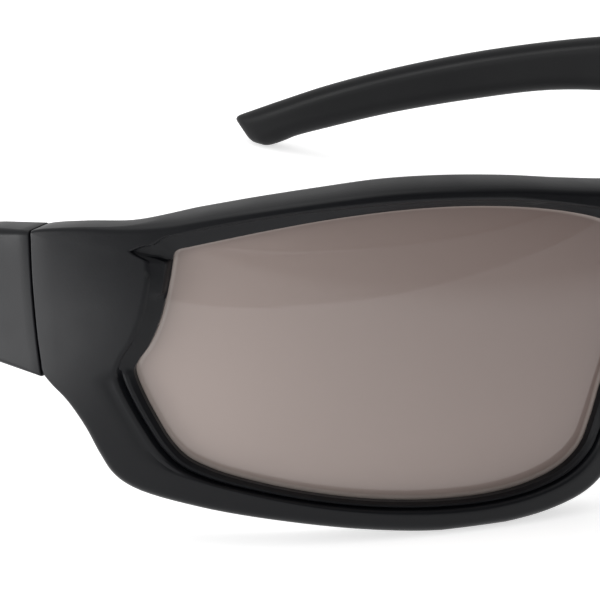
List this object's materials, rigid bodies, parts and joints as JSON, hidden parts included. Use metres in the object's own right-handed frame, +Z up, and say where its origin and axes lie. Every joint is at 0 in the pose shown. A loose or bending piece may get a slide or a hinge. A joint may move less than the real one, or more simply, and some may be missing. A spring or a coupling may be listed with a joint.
{
  "type": "wraparound safety glasses",
  "caption": "Wraparound safety glasses: one moulded front with tinted lenses, folding temples on screwed metal hinges, soft nose pads and soft temple tips.",
  "frame": {"origin": "centre of the bounding box in plan, at the height of the surface the open glasses stand on", "axes": "+Z up, +Y from the front back along the open temples, -Y the way the wearer looks, +X the wearer's left"},
  "size_m": [0.1504, 0.1626, 0.045],
  "materials": {
    "frame_nylon": "moulded satin black",
    "soft_rubber": "matte black soft-touch",
    "hinge_steel": "plated steel",
    "smoke_lens": "brown-grey smoke tint with a hard gloss coat"
  },
  "bodies": {
    "front": {"front_frame": "frame_nylon", "left_lens": "smoke_lens", "right_lens": "smoke_lens", "left_nose_pad": "soft_rubber", "right_nose_pad": "soft_rubber", "left_front_hinge_leaf": "hinge_steel", "right_front_hinge_leaf": "hinge_steel", "left_hinge_screw": "hinge_steel", "right_hinge_screw": "hinge_steel", "left_front_leaf_screw_lower": "hinge_steel", "right_front_leaf_screw_lower": "hinge_steel", "left_front_leaf_screw_upper": "hinge_steel", "right_front_leaf_screw_upper": "hinge_steel"},
    "left_temple": {"left_temple_arm": "frame_nylon", "left_temple_tip": "soft_rubber", "left_temple_hinge_leaf": "hinge_steel", "left_temple_leaf_screw_lower": "hinge_steel", "left_temple_leaf_screw_upper": "hinge_steel"},
    "right_temple": {"right_temple_arm": "frame_nylon", "right_temple_tip": "soft_rubber", "right_temple_hinge_leaf": "hinge_steel", "right_temple_leaf_screw_lower": "hinge_steel", "right_temple_leaf_screw_upper": "hinge_steel"}
  },
  "joints": [
    {"name": "left_temple_fold", "type": "hinge", "parent": "front", "child": "left_temple", "pos_m": [0.0634, -0.03527, 0.029], "axis": [0, 0, 1], "range_deg": [0, 90]},
    {"name": "right_temple_fold", "type": "hinge", "parent": "front", "child": "right_temple", "pos_m": [-0.0634, -0.03527, 0.029], "axis": [0, 0, -1], "range_deg": [0, 82]}
  ]
}
